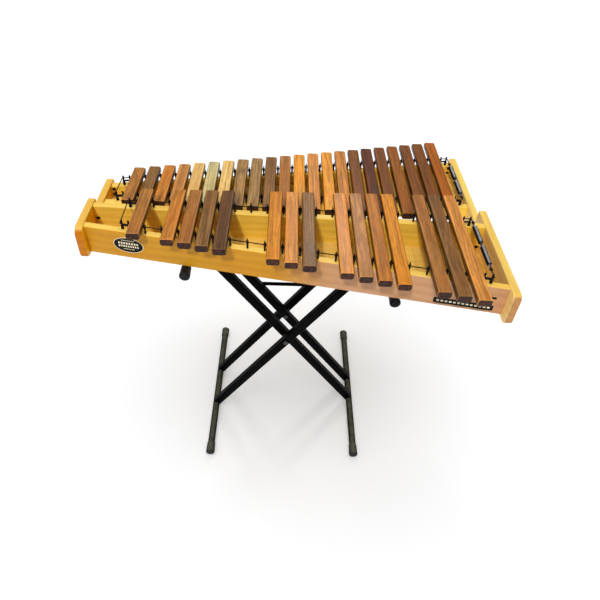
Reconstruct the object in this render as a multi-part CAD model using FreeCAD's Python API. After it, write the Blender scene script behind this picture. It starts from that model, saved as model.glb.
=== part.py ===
"""Three-octave practice xylophone on a folding double-X stand, in millimetres.

The model is drawn in the instrument's own frame: x runs from the shortest natural bar
towards the longest, y runs from the audience's side, with the raised row, to the player's
side, and z = 0 is the top face of the natural bars. Each piece is moved to the library
frame (on the floor, centred) as it is saved.
"""
import FreeCAD, Part
import math
import os

Vec = FreeCAD.Vector
X_AXIS = Vec(1, 0, 0)
Y_AXIS = Vec(0, 1, 0)
Z_AXIS = Vec(0, 0, 1)

# --- bars -------------------------------------------------------------------------------
BAR_PITCH = 48.0
BAR_WIDTH = 38.0
BAR_THICKNESS = 23.0
BAR_TOP_ROUNDING = 6.0
BAR_BOTTOM_ROUNDING = 7.5
BAR_END_ROUNDING = 2.0
NATURAL_COUNT = 22
# Half-step slots, counted from the left, that hold a raised bar.
ACCIDENTAL_SLOTS = (0, 2, 3, 4, 5, 8, 9, 10, 12, 13, 14, 15, 17, 18, 19)
ACCIDENTAL_LIFT = 49.5
ROW_LENGTH = (NATURAL_COUNT - 1) * BAR_PITCH
# Bar ends in plan: value at the first natural bar, linear change and bow over the row.
NATURAL_NEAR = (0.0, -27.6, 0.0)
NATURAL_FAR = (186.0, 213.0, 21.0)
ACCIDENTAL_NEAR = (-208.0, -219.0, -21.0)
ACCIDENTAL_FAR = (-9.7, 20.6, -2.2)
NODE_FRACTION = 0.224
ARCH_FRACTION = 0.21
ARCH_DEPTH_SHORT = 3.5
ARCH_DEPTH_LONG = 9.5
BAR_HOLE_RADIUS = 2.4

# --- wooden frame -----------------------------------------------------------------------
RAIL_THICKNESS = 22.0
RAIL_ROUNDING = 4.0
HIGH_RAIL_TOP = 18.0
LOW_RAIL_TOP = -33.5
RAIL_BOTTOM = -74.5
BOARD_THICKNESS = 22.0
BOARD_RIM_ROUNDING = 3.0
BOARD_BOTTOM_ROUNDING = 18.0
BOARD_BACK_ROUNDING = 14.0
BOARD_STEP_ROUNDING = 6.0
LEFT_BOARD_FRONT_ROUNDING = 30.0
RIGHT_BOARD_FRONT_ROUNDING = 16.0
LEFT_BOARD_INNER = -83.0
RIGHT_BOARD_INNER = 1076.0
LEFT_BOARD_ENDS = (-180.0, 160.0)
RIGHT_BOARD_ENDS = (-400.0, 366.0)
BOARD_STEP_Y = -25.0
BOARD_HIGH_TOP = 22.0
BOARD_LOW_TOP = -26.0
BOARD_BOTTOM = -86.0
PANEL_THICKNESS = 4.5
PANEL_JOINTS = (617.0, 875.0)
PANEL_GAP = 0.6
SCREW_ANGLE = 35.0
SCREW_SIDE_STEP = 4.7
SCREW_RADIUS = 2.0
SCREW_HEAD_RADIUS = 4.5
SCREW_HEAD_HEIGHT = 8.0
SCREW_SEAT = 4.5
SCREW_REACH = 15.0
POCKET_RADIUS = 4.8
POCKET_REACH = 50.0
HIGH_SCREW_LEVELS = (-25.0, -56.0)
LOW_SCREW_LEVELS = (-45.0, -64.0)

# --- cords, posts and springs -----------------------------------------------------------
CORD_RADIUS = 1.5
CORD_ABOVE_BAR_BOTTOM = 12.0
CORD_RESTS_IN_HOLE = 0.8
SPIKE_DEPTH = 12.0
DRILL_REACH = 40.0
POST_SPIKE_RADIUS = 2.0
POST_SLEEVE_RADIUS = 2.9
POST_HEAD_RADIUS = 3.8
POST_HEAD_HALF_HEIGHT = 4.5
POST_TAPER = 3.0
POST_TIP_RADIUS = 1.7
POST_TIP_CHAMFER = 0.8
POST_TIP_ABOVE_CORD = 13.0
POST_EYE_RADIUS = 1.7
FORK_SPREAD = 20.0
FORK_PRONG_RADIUS = 2.8
FORK_SPIKE_RADIUS = 2.8
FORK_STEM_RADIUS = 4.2
FORK_SADDLE_BELOW_CORD = 8.0
FORK_TIP_ABOVE_CORD = 11.0
CORD_CLEAR_OF_PRONG = 0.15
SPRING_RADIUS = 7.5
SPRING_BORE = 5.2
SPRING_END_WALL = 2.0
SPRING_LENGTH = 75.0
SPRING_WIRE = 1.0
SPRING_LOOP_RADIUS = 4.5
LOOP_CLEARANCE = 0.1
ACCIDENTAL_SPRING_Y = -214.0
NATURAL_SPRING_Y = 189.0

# --- stand ------------------------------------------------------------------------------
NATURAL_TOP_HEIGHT = 920.0
STAND_X = 499.5
STAND_Y = -20.0
ARM_HALF_SPAN = 297.0
FOOT_HALF_SPAN = 267.0
TUBE_RADIUS = 12.7
TUBE_WALL = 1.5
CAP_RADIUS = 16.0
CAP_MOUTH_RADIUS = 14.8
CAP_LENGTH = 40.0
CAP_END_WALL = 3.0
CAP_ROUNDING = 5.0
FOOT_FLAT = 0.5
FOOT_HALF_LENGTH = 304.0
LEFT_ARM_HALF_LENGTH = 222.0
RIGHT_ARM_HALF_LENGTH = 306.0
OUTER_LEG_Y = 80.0
INNER_LEG_Y = 46.5
LEG_WIDTH = 30.0
LEG_DEPTH = 25.0
LEG_WALL = 1.5
LEG_ROUNDING = 5.0
LEG_END_SHORT_OF_TUBE = 6.0
SLIDING_GAP = 0.3
RUNNING_FIT = 0.05
BOLT_RADIUS = 4.0
BOLT_HEAD_RADIUS = 8.0
BOLT_HEAD_HEIGHT = 4.5
BOLT_HEAD_ROUNDING = 2.7
NUT_RADIUS = 7.0
WASHER_RADIUS = 11.0
STAY_LEVEL = -380.0
STAY_HEIGHT = 14.0
STAY_THICKNESS = 4.0
STAY_COVER = 1.0
STAY_PIN_RADIUS = 3.0
STAY_SLOT_CLEARANCE = 0.2
STAY_END_MARGIN = 4.0
STAY_RIVET_HEAD_RADIUS = 6.0
STAY_RIVET_NEAR_HEAD = 2.5
STAY_RIVET_FAR_HEAD = 1.5
FOLD_ANGLE = 29.0

# --- derived places ---------------------------------------------------------------------
ACCIDENTAL_CORD_Z = ACCIDENTAL_LIFT - BAR_THICKNESS + CORD_ABOVE_BAR_BOTTOM
NATURAL_CORD_Z = -BAR_THICKNESS + CORD_ABOVE_BAR_BOTTOM
ARM_Z = RAIL_BOTTOM - SLIDING_GAP - CAP_RADIUS
FOOT_Z = -NATURAL_TOP_HEIGHT + CAP_RADIUS - FOOT_FLAT
PIVOT_FRACTION = FOOT_HALF_SPAN / (FOOT_HALF_SPAN + ARM_HALF_SPAN)
PIVOT_Z = FOOT_Z + PIVOT_FRACTION * (ARM_Z - FOOT_Z)
LEG_SLOPE = ARM_HALF_SPAN / (ARM_Z - PIVOT_Z)
STAY_HALF_SPAN = LEG_SLOPE * (STAY_LEVEL - PIVOT_Z)
STAY_Y = STAND_Y + (INNER_LEG_Y + OUTER_LEG_Y) / 2.0


def along_row(ends, x):
    """Place of a bar end in y for a bar centred at x."""
    t = x / ROW_LENGTH
    return ends[0] + ends[1] * t + ends[2] * t * t


def natural_x(index):
    return index * BAR_PITCH


def accidental_x(slot):
    return (slot + 1.5) * BAR_PITCH


class NodeLine:
    """Straight line in plan under the still points of a row, where rail and cord run."""

    def __init__(self, near, far, xs, fraction):
        ys = []
        for x in xs:
            start = along_row(near, x)
            length = along_row(far, x) - start
            ys.append(start + fraction * length)
        self.slope = (ys[1] - ys[0]) / (xs[1] - xs[0])
        self.offset = ys[0] - self.slope * xs[0]

    def y(self, x):
        return self.offset + self.slope * x

    def direction(self):
        return Vec(1, self.slope, 0).normalize()


NATURAL_XS = (natural_x(0), natural_x(NATURAL_COUNT - 1))
ACCIDENTAL_XS = (accidental_x(ACCIDENTAL_SLOTS[0]), accidental_x(ACCIDENTAL_SLOTS[-1]))
FRONT_LINE = NodeLine(ACCIDENTAL_NEAR, ACCIDENTAL_FAR, ACCIDENTAL_XS, NODE_FRACTION)
ACCIDENTAL_INNER_LINE = NodeLine(ACCIDENTAL_NEAR, ACCIDENTAL_FAR, ACCIDENTAL_XS, 1 - NODE_FRACTION)
NATURAL_INNER_LINE = NodeLine(NATURAL_NEAR, NATURAL_FAR, NATURAL_XS, NODE_FRACTION)
REAR_LINE = NodeLine(NATURAL_NEAR, NATURAL_FAR, NATURAL_XS, 1 - NODE_FRACTION)

LAST_ACCIDENTAL_NEAR = along_row(ACCIDENTAL_NEAR, ACCIDENTAL_XS[1])
LAST_NATURAL_FAR = along_row(NATURAL_FAR, NATURAL_XS[1])
MIDDLE_X = (LEFT_BOARD_INNER + RIGHT_BOARD_INNER) / 2.0
MIDDLE_Y = (LAST_ACCIDENTAL_NEAR + LAST_NATURAL_FAR) / 2.0
TO_LIBRARY_FRAME = Vec(-MIDDLE_X, -MIDDLE_Y, NATURAL_TOP_HEIGHT)


def save(node, shapes):
    """Write one node, a list of separate solids, in the library frame."""
    group = shapes[0] if len(shapes) == 1 else Part.makeCompound(shapes)
    moved = group.copy()
    moved.translate(TO_LIBRARY_FRAME)
    if not moved.isValid():
        raise ValueError("invalid shape in " + node)
    moved.exportStep("parts/" + node + ".step")


def cylinder(radius, start, end):
    axis = end - start
    return Part.makeCylinder(radius, axis.Length, start, axis)


def tube(radius, wall, start, end):
    return cylinder(radius, start, end).cut(cylinder(radius - wall, start, end))


def polygon(points):
    return Part.Face(Part.makePolygon(points + [points[0]]))


def edges_along(shape, direction, tolerance=0.01):
    """Straight edges that run along one direction."""
    found = []
    for edge in shape.Edges:
        if edge.Curve.TypeId != "Part::GeomLine":
            continue
        if edge.Curve.Direction.cross(direction).Length < tolerance:
            found.append(edge)
    return found


def edges_at(shape, direction, z, tolerance=0.01):
    """Straight edges that run along one direction at one height."""
    found = []
    for edge in edges_along(shape, direction):
        if abs(edge.CenterOfMass.z - z) < tolerance:
            found.append(edge)
    return found


def flat_edges(shape, extent, tolerance=0.01):
    """Edges with no extent along one axis, such as the rims of two parallel ends."""
    found = []
    for edge in shape.Edges:
        if getattr(edge.BoundBox, extent) < tolerance:
            found.append(edge)
    return found


# --- bars -------------------------------------------------------------------------------
def make_bar(x, near, far, top, lines):
    """Rosewood bar: rounded block, tuning arch below, two skewed cord holes."""
    y_near = along_row(near, x)
    y_far = along_row(far, x)
    length = y_far - y_near
    corner = Vec(x - BAR_WIDTH / 2.0, y_near, top - BAR_THICKNESS)
    block = Part.makeBox(BAR_WIDTH, length, BAR_THICKNESS, corner)
    block = block.makeFillet(BAR_TOP_ROUNDING, edges_at(block, Y_AXIS, top))
    block = block.makeFillet(BAR_BOTTOM_ROUNDING, edges_at(block, Y_AXIS, top - BAR_THICKNESS))
    block = block.makeFillet(BAR_END_ROUNDING, flat_edges(block, "YLength"))

    share = x / ROW_LENGTH
    depth = ARCH_DEPTH_SHORT + (ARCH_DEPTH_LONG - ARCH_DEPTH_SHORT) * share
    half_chord = ARCH_FRACTION * length
    arch_radius = (half_chord ** 2 + depth ** 2) / (2.0 * depth)
    arch_z = top - BAR_THICKNESS + depth - arch_radius
    arch_y = (y_near + y_far) / 2.0
    arch_start = Vec(x - BAR_WIDTH, arch_y, arch_z)
    bar = block.cut(cylinder(arch_radius, arch_start, arch_start + X_AXIS * (2.0 * BAR_WIDTH)))

    hole_z = top - BAR_THICKNESS + CORD_ABOVE_BAR_BOTTOM - CORD_RESTS_IN_HOLE
    for line in lines:
        middle = Vec(x, line.y(x), hole_z)
        reach = line.direction() * BAR_WIDTH
        bar = bar.cut(cylinder(BAR_HOLE_RADIUS, middle - reach, middle + reach))
    return bar


def make_bars():
    lines = (NATURAL_INNER_LINE, REAR_LINE)
    for index in range(NATURAL_COUNT):
        bar = make_bar(natural_x(index), NATURAL_NEAR, NATURAL_FAR, 0.0, lines)
        save("natural_bar_%02d" % (index + 1), [bar])
    lines = (FRONT_LINE, ACCIDENTAL_INNER_LINE)
    for index, slot in enumerate(ACCIDENTAL_SLOTS):
        bar = make_bar(accidental_x(slot), ACCIDENTAL_NEAR, ACCIDENTAL_FAR, ACCIDENTAL_LIFT, lines)
        save("accidental_bar_%02d" % (index + 1), [bar])


# --- wooden frame -----------------------------------------------------------------------
def rail_half_depth(line):
    """Half a rail's thickness, measured along y."""
    return RAIL_THICKNESS / 2.0 * math.sqrt(1.0 + line.slope ** 2)


def make_rail(line, top):
    """Board on edge between the two end boards, its long edges rounded."""
    half = rail_half_depth(line)
    left = LEFT_BOARD_INNER
    right = RIGHT_BOARD_INNER
    points = [
        Vec(left, line.y(left) - half, RAIL_BOTTOM),
        Vec(right, line.y(right) - half, RAIL_BOTTOM),
        Vec(right, line.y(right) + half, RAIL_BOTTOM),
        Vec(left, line.y(left) + half, RAIL_BOTTOM),
    ]
    rail = polygon(points).extrude(Z_AXIS * (top - RAIL_BOTTOM))
    return rail.makeFillet(RAIL_ROUNDING, edges_at(rail, line.direction(), top))


def make_board(inner_x, outer_x, ends, front_rounding):
    """Stepped end board, high in front for the raised row and low behind."""
    front, back = ends
    outline = [
        Vec(0, front, BOARD_BOTTOM),
        Vec(0, back, BOARD_BOTTOM),
        Vec(0, back, BOARD_LOW_TOP),
        Vec(0, BOARD_STEP_Y, BOARD_LOW_TOP),
        Vec(0, BOARD_STEP_Y, BOARD_HIGH_TOP),
        Vec(0, front, BOARD_HIGH_TOP),
    ]
    board = polygon(outline).extrude(X_AXIS * abs(outer_x - inner_x))
    board.translate(X_AXIS * min(inner_x, outer_x))
    corners = (
        (front, BOARD_HIGH_TOP, front_rounding),
        (front, BOARD_BOTTOM, BOARD_BOTTOM_ROUNDING),
        (back, BOARD_BOTTOM, BOARD_BOTTOM_ROUNDING),
        (back, BOARD_LOW_TOP, BOARD_BACK_ROUNDING),
        (BOARD_STEP_Y, BOARD_HIGH_TOP, BOARD_STEP_ROUNDING),
    )
    for y, z, radius in corners:
        for edge in edges_at(board, X_AXIS, z):
            if abs(edge.CenterOfMass.y - y) < 0.1:
                board = board.makeFillet(radius, [edge])
                break
    return board.makeFillet(BOARD_RIM_ROUNDING, flat_edges(board, "XLength"))


def make_panels(line_a, line_b):
    """Thin floor of one chamber, in three lengths between two rails."""
    half_a = rail_half_depth(line_a)
    half_b = rail_half_depth(line_b)
    stations = [LEFT_BOARD_INNER] + list(PANEL_JOINTS) + [RIGHT_BOARD_INNER]
    panels = []
    for left, right in zip(stations[:-1], stations[1:]):
        if right != RIGHT_BOARD_INNER:
            right = right - PANEL_GAP
        points = [
            Vec(left, line_a.y(left) + half_a, RAIL_BOTTOM),
            Vec(right, line_a.y(right) + half_a, RAIL_BOTTOM),
            Vec(right, line_b.y(right) - half_b, RAIL_BOTTOM),
            Vec(left, line_b.y(left) - half_b, RAIL_BOTTOM),
        ]
        panels.append(polygon(points).extrude(Z_AXIS * PANEL_THICKNESS))
    return panels


def screw_axis(line, end, side):
    """Start and outward direction of a slanted screw at one end of a rail."""
    if end == "left":
        x = LEFT_BOARD_INNER
        inward = 1.0
    else:
        x = RIGHT_BOARD_INNER
        inward = -1.0
    angle = math.radians(SCREW_ANGLE)
    direction = Vec(inward * math.cos(angle), side * math.sin(angle), 0)
    return Vec(x, line.y(x) + side * SCREW_SIDE_STEP, 0), direction


def make_screw(origin, outward):
    seat = origin + outward * SCREW_SEAT
    tip = origin - outward * SCREW_REACH
    head_top = seat + outward * SCREW_HEAD_HEIGHT
    head = cylinder(SCREW_HEAD_RADIUS, seat, head_top)
    return cylinder(SCREW_RADIUS, tip, seat).fuse(head)


def make_pocket(origin, outward):
    return cylinder(POCKET_RADIUS, origin + outward * SCREW_SEAT, origin + outward * POCKET_REACH)


def make_frame():
    rails = (
        ("front_rail", FRONT_LINE, HIGH_RAIL_TOP, HIGH_SCREW_LEVELS, 1.0),
        ("accidental_inner_rail", ACCIDENTAL_INNER_LINE, HIGH_RAIL_TOP, HIGH_SCREW_LEVELS, -1.0),
        ("natural_inner_rail", NATURAL_INNER_LINE, LOW_RAIL_TOP, LOW_SCREW_LEVELS, 1.0),
        ("rear_rail", REAR_LINE, LOW_RAIL_TOP, LOW_SCREW_LEVELS, -1.0),
    )
    boards = {
        "left": make_board(LEFT_BOARD_INNER, LEFT_BOARD_INNER - BOARD_THICKNESS,
                           LEFT_BOARD_ENDS, LEFT_BOARD_FRONT_ROUNDING),
        "right": make_board(RIGHT_BOARD_INNER, RIGHT_BOARD_INNER + BOARD_THICKNESS,
                            RIGHT_BOARD_ENDS, RIGHT_BOARD_FRONT_ROUNDING),
    }
    screws = []
    for node, line, top, levels, side in rails:
        rail = make_rail(line, top)
        for end in ("left", "right"):
            for level in levels:
                origin, outward = screw_axis(line, end, side)
                origin = origin + Z_AXIS * level
                screw = make_screw(origin, outward)
                rail = rail.cut(make_pocket(origin, outward)).cut(screw)
                boards[end] = boards[end].cut(screw)
                screws.append(screw)
        rail = drill_posts(node, rail)
        save(node, [rail])
    save("end_board_left", [boards["left"]])
    save("end_board_right", [boards["right"]])
    save("frame_screws", screws)
    floors = make_panels(FRONT_LINE, ACCIDENTAL_INNER_LINE)
    floors += make_panels(NATURAL_INNER_LINE, REAR_LINE)
    save("floor_panels", floors)


# --- cord posts -------------------------------------------------------------------------
def accidental_post_xs():
    """Slot edges of the raised row, without the two that carry forked posts."""
    return [BAR_PITCH * k for k in range(2, NATURAL_COUNT - 1)]


def natural_post_xs():
    return [BAR_PITCH * (k + 0.5) for k in range(NATURAL_COUNT - 1)]


ACCIDENTAL_FORKS = (BAR_PITCH - FORK_SPREAD / 2.0, BAR_PITCH * (NATURAL_COUNT - 1) + FORK_SPREAD / 2.0)
NATURAL_FORKS = (-BAR_PITCH / 2.0 - FORK_SPREAD / 2.0,
                 BAR_PITCH * (NATURAL_COUNT - 0.5) + FORK_SPREAD / 2.0)
FORK_OFFSET = FORK_PRONG_RADIUS + CORD_CLEAR_OF_PRONG + CORD_RADIUS


def make_post(place, base, cord_z, direction):
    """Straight post: spike, sleeve, thicker head with an eye for the cord, slim tip."""
    head_low = cord_z - POST_HEAD_HALF_HEIGHT
    head_high = cord_z + POST_HEAD_HALF_HEIGHT
    tip = cord_z + POST_TIP_ABOVE_CORD
    profile = [
        Vec(0, 0, base - SPIKE_DEPTH),
        Vec(POST_SPIKE_RADIUS, 0, base - SPIKE_DEPTH),
        Vec(POST_SPIKE_RADIUS, 0, base),
        Vec(POST_SLEEVE_RADIUS, 0, base),
        Vec(POST_SLEEVE_RADIUS, 0, head_low - POST_TAPER),
        Vec(POST_HEAD_RADIUS, 0, head_low),
        Vec(POST_HEAD_RADIUS, 0, head_high),
        Vec(POST_TIP_RADIUS, 0, head_high + POST_TAPER),
        Vec(POST_TIP_RADIUS, 0, tip - POST_TIP_CHAMFER),
        Vec(POST_TIP_RADIUS - POST_TIP_CHAMFER, 0, tip),
        Vec(0, 0, tip),
    ]
    post = polygon(profile).revolve(Vec(0, 0, 0), Z_AXIS, 360)
    post.translate(Vec(place.x, place.y, 0))
    middle = Vec(place.x, place.y, cord_z)
    reach = direction * (2.0 * POST_HEAD_RADIUS)
    return post.cut(cylinder(POST_EYE_RADIUS, middle - reach, middle + reach))


def make_prong(low, high):
    """Round prong with a ball at each end."""
    ball = Z_AXIS * FORK_PRONG_RADIUS
    prong = cylinder(FORK_PRONG_RADIUS, low, high - ball)
    prong = prong.fuse(Part.makeSphere(FORK_PRONG_RADIUS, low))
    return prong.fuse(Part.makeSphere(FORK_PRONG_RADIUS, high - ball))


def make_fork(outer, inner, base, cord_z):
    """Forked end post: its thick stem carries the outer prong, where the cord turns."""
    saddle = Z_AXIS * (cord_z - FORK_SADDLE_BELOW_CORD)
    tip = Z_AXIS * (cord_z + FORK_TIP_ABOVE_CORD)
    floor = Z_AXIS * base
    fork = cylinder(FORK_SPIKE_RADIUS, outer + floor - Z_AXIS * SPIKE_DEPTH, outer + saddle)
    fork = fork.fuse(cylinder(FORK_STEM_RADIUS, outer + floor, outer + saddle))
    fork = fork.fuse(cylinder(FORK_PRONG_RADIUS, outer + saddle, inner + saddle))
    fork = fork.fuse(make_prong(outer + saddle, outer + tip))
    fork = fork.fuse(make_prong(inner + saddle, inner + tip))
    return fork.removeSplitter()


def fork_places(line, xs, inner_side):
    """Outer and inner prong of the left and the right fork, beside the cord's line."""
    normal = Vec(-line.slope, 1.0, 0).normalize()
    places = []
    for x, outward in zip(xs, (-1.0, 1.0)):
        centre = Vec(x, line.y(x), 0) + normal * (inner_side * FORK_OFFSET)
        half = line.direction() * (outward * FORK_SPREAD / 2.0)
        places.append((centre + half, centre - half))
    return places


def rail_hardware(node):
    """Line, rail top, cord height, post and fork places of one rail."""
    table = {
        "front_rail": (FRONT_LINE, HIGH_RAIL_TOP, ACCIDENTAL_CORD_Z,
                       accidental_post_xs(), ACCIDENTAL_FORKS, 1.0),
        "accidental_inner_rail": (ACCIDENTAL_INNER_LINE, HIGH_RAIL_TOP, ACCIDENTAL_CORD_Z,
                                  accidental_post_xs(), ACCIDENTAL_FORKS, -1.0),
        "natural_inner_rail": (NATURAL_INNER_LINE, LOW_RAIL_TOP, NATURAL_CORD_Z,
                               natural_post_xs(), NATURAL_FORKS, 1.0),
        "rear_rail": (REAR_LINE, LOW_RAIL_TOP, NATURAL_CORD_Z,
                      natural_post_xs(), NATURAL_FORKS, -1.0),
    }
    return table[node]


def drill_posts(node, rail):
    line, top, _, post_xs, fork_xs, side = rail_hardware(node)
    floor = Z_AXIS * (top - SPIKE_DEPTH)
    ceiling = Z_AXIS * (top + DRILL_REACH)
    holes = []
    for x in post_xs:
        place = Vec(x, line.y(x), 0)
        holes.append(cylinder(POST_SPIKE_RADIUS, place + floor, place + ceiling))
    for outer, _ in fork_places(line, fork_xs, side):
        holes.append(cylinder(FORK_SPIKE_RADIUS, outer + floor, outer + ceiling))
    return rail.cut(holes)


def make_posts():
    posts = []
    for node in ("front_rail", "accidental_inner_rail", "natural_inner_rail", "rear_rail"):
        line, top, cord_z, post_xs, fork_xs, side = rail_hardware(node)
        for x in post_xs:
            posts.append(make_post(Vec(x, line.y(x), 0), top, cord_z, line.direction()))
        for outer, inner in fork_places(line, fork_xs, side):
            posts.append(make_fork(outer, inner, top, cord_z))
    save("cord_posts", posts)


# --- cords and springs ------------------------------------------------------------------
def rounded_path(points, radius):
    """Straight runs joined by tangent arcs."""
    edges = []
    start = points[0]
    for before, corner, after in zip(points[:-2], points[1:-1], points[2:]):
        u = (before - corner).normalize()
        w = (after - corner).normalize()
        half = u.getAngle(w) / 2.0
        tangent = radius / math.tan(half)
        bisector = (u + w).normalize()
        centre = corner + bisector * (radius / math.sin(half))
        arc_start = corner + u * tangent
        arc_end = corner + w * tangent
        arc_middle = centre - bisector * radius
        edges.append(Part.LineSegment(start, arc_start).toShape())
        edges.append(Part.Arc(arc_start, arc_middle, arc_end).toShape())
        start = arc_end
    edges.append(Part.LineSegment(start, points[-1]).toShape())
    return Part.Wire(edges)


def sweep_round(path, radius):
    start = path.Edges[0].valueAt(path.Edges[0].FirstParameter)
    heading = path.Edges[0].tangentAt(path.Edges[0].FirstParameter)
    ring = Part.Wire([Part.makeCircle(radius, start, heading)])
    return path.makePipeShell([ring], True, False)


def meet(line_a, point, heading):
    """Crossing, in plan, of a node line and a line through a point."""
    a = line_a.direction()
    delta = Vec(point.x, point.y - line_a.offset, 0)
    denominator = a.x * heading.y - a.y * heading.x
    distance = (delta.x * heading.y - delta.y * heading.x) / denominator
    return Vec(a.x * distance, line_a.offset + a.y * distance, 0)


def turning_run(front, rear, forks, end):
    """Points where the cord turns from one rail's line to the other's at one end."""
    index = 0 if end == "left" else 1
    sign = -1.0 if end == "left" else 1.0
    front_prong = fork_places(front, forks, 1.0)[index][0]
    rear_prong = fork_places(rear, forks, -1.0)[index][0]
    heading = (rear_prong - front_prong).normalize()
    outside = Vec(heading.y, -heading.x, 0) * sign
    point = front_prong + outside * FORK_OFFSET
    return meet(front, point, heading), meet(rear, point, heading), heading


class SpringStations:
    """Distances along one spring from the point where the pair hooks together."""

    near_loop = SPRING_LOOP_RADIUS - SPRING_WIRE - LOOP_CLEARANCE
    body_start = near_loop + SPRING_LOOP_RADIUS - SPRING_WIRE / 2.0
    body_end = body_start + SPRING_LENGTH
    far_loop = body_end + SPRING_LOOP_RADIUS - SPRING_WIRE / 2.0
    cord_end = far_loop + SPRING_LOOP_RADIUS + SPRING_WIRE + LOOP_CLEARANCE


def make_row_cord(front, rear, forks, cord_z, spring_y):
    """One cord: along both rails, round the left end, open where the springs sit."""
    left_front, left_rear, _ = turning_run(front, rear, forks, "left")
    right_front, right_rear, heading = turning_run(front, rear, forks, "right")
    reach = SpringStations.cord_end
    middle = right_front + heading * ((spring_y - right_front.y) / heading.y)
    points = [
        middle - heading * reach,
        right_front,
        left_front,
        left_rear,
        right_rear,
        middle + heading * reach,
    ]
    lifted = [Vec(p.x, p.y, cord_z) for p in points]
    path = rounded_path(lifted, FORK_OFFSET)
    cord = sweep_round(path, CORD_RADIUS)
    expected = math.pi * CORD_RADIUS ** 2 * path.Length
    print("cord length %.1f, volume/expected %.4f" % (path.Length, cord.Volume / expected))
    return cord, Vec(middle.x, middle.y, cord_z), heading


def make_loop(centre, axis):
    return Part.makeTorus(SPRING_LOOP_RADIUS, SPRING_WIRE, centre, axis)


def make_springs(middle, heading):
    """Two pull springs in line, hooked to each other at the middle."""
    springs = []
    side = Vec(heading.y, -heading.x, 0)
    for sign, near_axis in ((-1.0, Z_AXIS), (1.0, side)):
        away = heading * sign
        near_loop = middle + away * SpringStations.near_loop
        body_start = middle + away * SpringStations.body_start
        body_end = middle + away * SpringStations.body_end
        far_loop = middle + away * SpringStations.far_loop
        body = cylinder(SPRING_RADIUS, body_start, body_end)
        wall = away * SPRING_END_WALL
        body = body.cut(cylinder(SPRING_BORE, body_start + wall, body_end - wall))
        spring = body.fuse(make_loop(near_loop, near_axis)).fuse(make_loop(far_loop, Z_AXIS))
        springs.append(spring)
    return springs


def make_cords():
    springs = []
    rows = (
        ("accidental_cord", FRONT_LINE, ACCIDENTAL_INNER_LINE, ACCIDENTAL_FORKS,
         ACCIDENTAL_CORD_Z, ACCIDENTAL_SPRING_Y),
        ("natural_cord", NATURAL_INNER_LINE, REAR_LINE, NATURAL_FORKS,
         NATURAL_CORD_Z, NATURAL_SPRING_Y),
    )
    for node, front, rear, forks, cord_z, spring_y in rows:
        cord, middle, heading = make_row_cord(front, rear, forks, cord_z, spring_y)
        save(node, [cord])
        springs += make_springs(middle, heading)
    save("cord_springs", springs)


# --- stand ------------------------------------------------------------------------------
def make_cap(closed_end, inward, flat):
    """Rubber cap over a tube end, wider at its closed end."""
    profile = [
        Vec(0, 0, 0),
        Vec(CAP_RADIUS, 0, 0),
        Vec(CAP_MOUTH_RADIUS, 0, CAP_LENGTH),
        Vec(TUBE_RADIUS, 0, CAP_LENGTH),
        Vec(TUBE_RADIUS, 0, CAP_END_WALL),
        Vec(0, 0, CAP_END_WALL),
    ]
    cap = polygon(profile).revolve(Vec(0, 0, 0), Z_AXIS, 360)
    rim = []
    for edge in cap.Edges:
        if abs(edge.BoundBox.ZMax) < 0.01 and edge.BoundBox.XLength > CAP_RADIUS:
            rim.append(edge)
    cap = cap.makeFillet(CAP_ROUNDING, rim)
    turn = FreeCAD.Rotation(Z_AXIS, Y_AXIS * inward)
    cap.Placement = FreeCAD.Placement(closed_end, turn)
    if flat:
        size = 4.0 * CAP_LENGTH
        top = closed_end.z - CAP_RADIUS + FOOT_FLAT
        corner = Vec(closed_end.x - size / 2.0, closed_end.y - size / 2.0, top - size)
        cap = cap.cut(Part.makeBox(size, size, size, corner))
    return cap


def make_crossbar(x, z, half_length):
    """Round cross tube of the stand, cut short so that its caps reach the full length."""
    reach = half_length - CAP_END_WALL
    return tube(TUBE_RADIUS, TUBE_WALL, Vec(x, STAND_Y - reach, z), Vec(x, STAND_Y + reach, z))


def make_caps(x, z, half_length, flat):
    near = make_cap(Vec(x, STAND_Y - half_length, z), 1.0, flat)
    far = make_cap(Vec(x, STAND_Y + half_length, z), -1.0, flat)
    return [near, far]


def rectangular_tube(length):
    outer = Part.makeBox(LEG_WIDTH, LEG_DEPTH, length, Vec(-LEG_WIDTH / 2.0, -LEG_DEPTH / 2.0, 0))
    outer = outer.makeFillet(LEG_ROUNDING, edges_along(outer, Z_AXIS))
    width = LEG_WIDTH - 2.0 * LEG_WALL
    depth = LEG_DEPTH - 2.0 * LEG_WALL
    inner = Part.makeBox(width, depth, length, Vec(-width / 2.0, -depth / 2.0, 0))
    inner = inner.makeFillet(LEG_ROUNDING - LEG_WALL, edges_along(inner, Z_AXIS))
    return outer.cut(inner)


def make_leg(foot_x, arm_x, y, pivot_radius, end_fit):
    """Slanted rectangular tube, its ends shaped to sit on the two round cross tubes."""
    foot = Vec(foot_x, y, FOOT_Z)
    arm = Vec(arm_x, y, ARM_Z)
    axis = (arm - foot).normalize()
    length = (arm - foot).Length - 2.0 * LEG_END_SHORT_OF_TUBE
    leg = rectangular_tube(length)
    tilt = math.degrees(math.atan2(axis.x, axis.z))
    turn = FreeCAD.Rotation(Y_AXIS, tilt)
    leg.Placement = FreeCAD.Placement(foot + axis * LEG_END_SHORT_OF_TUBE, turn)
    reach = Y_AXIS * LEG_DEPTH
    leg = leg.cut(cylinder(TUBE_RADIUS + end_fit, foot - reach, foot + reach))
    leg = leg.cut(cylinder(TUBE_RADIUS + end_fit, arm - reach, arm + reach))
    pivot = Vec(STAND_X, y, PIVOT_Z)
    return leg.cut(cylinder(pivot_radius, pivot - reach, pivot + reach))


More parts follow.
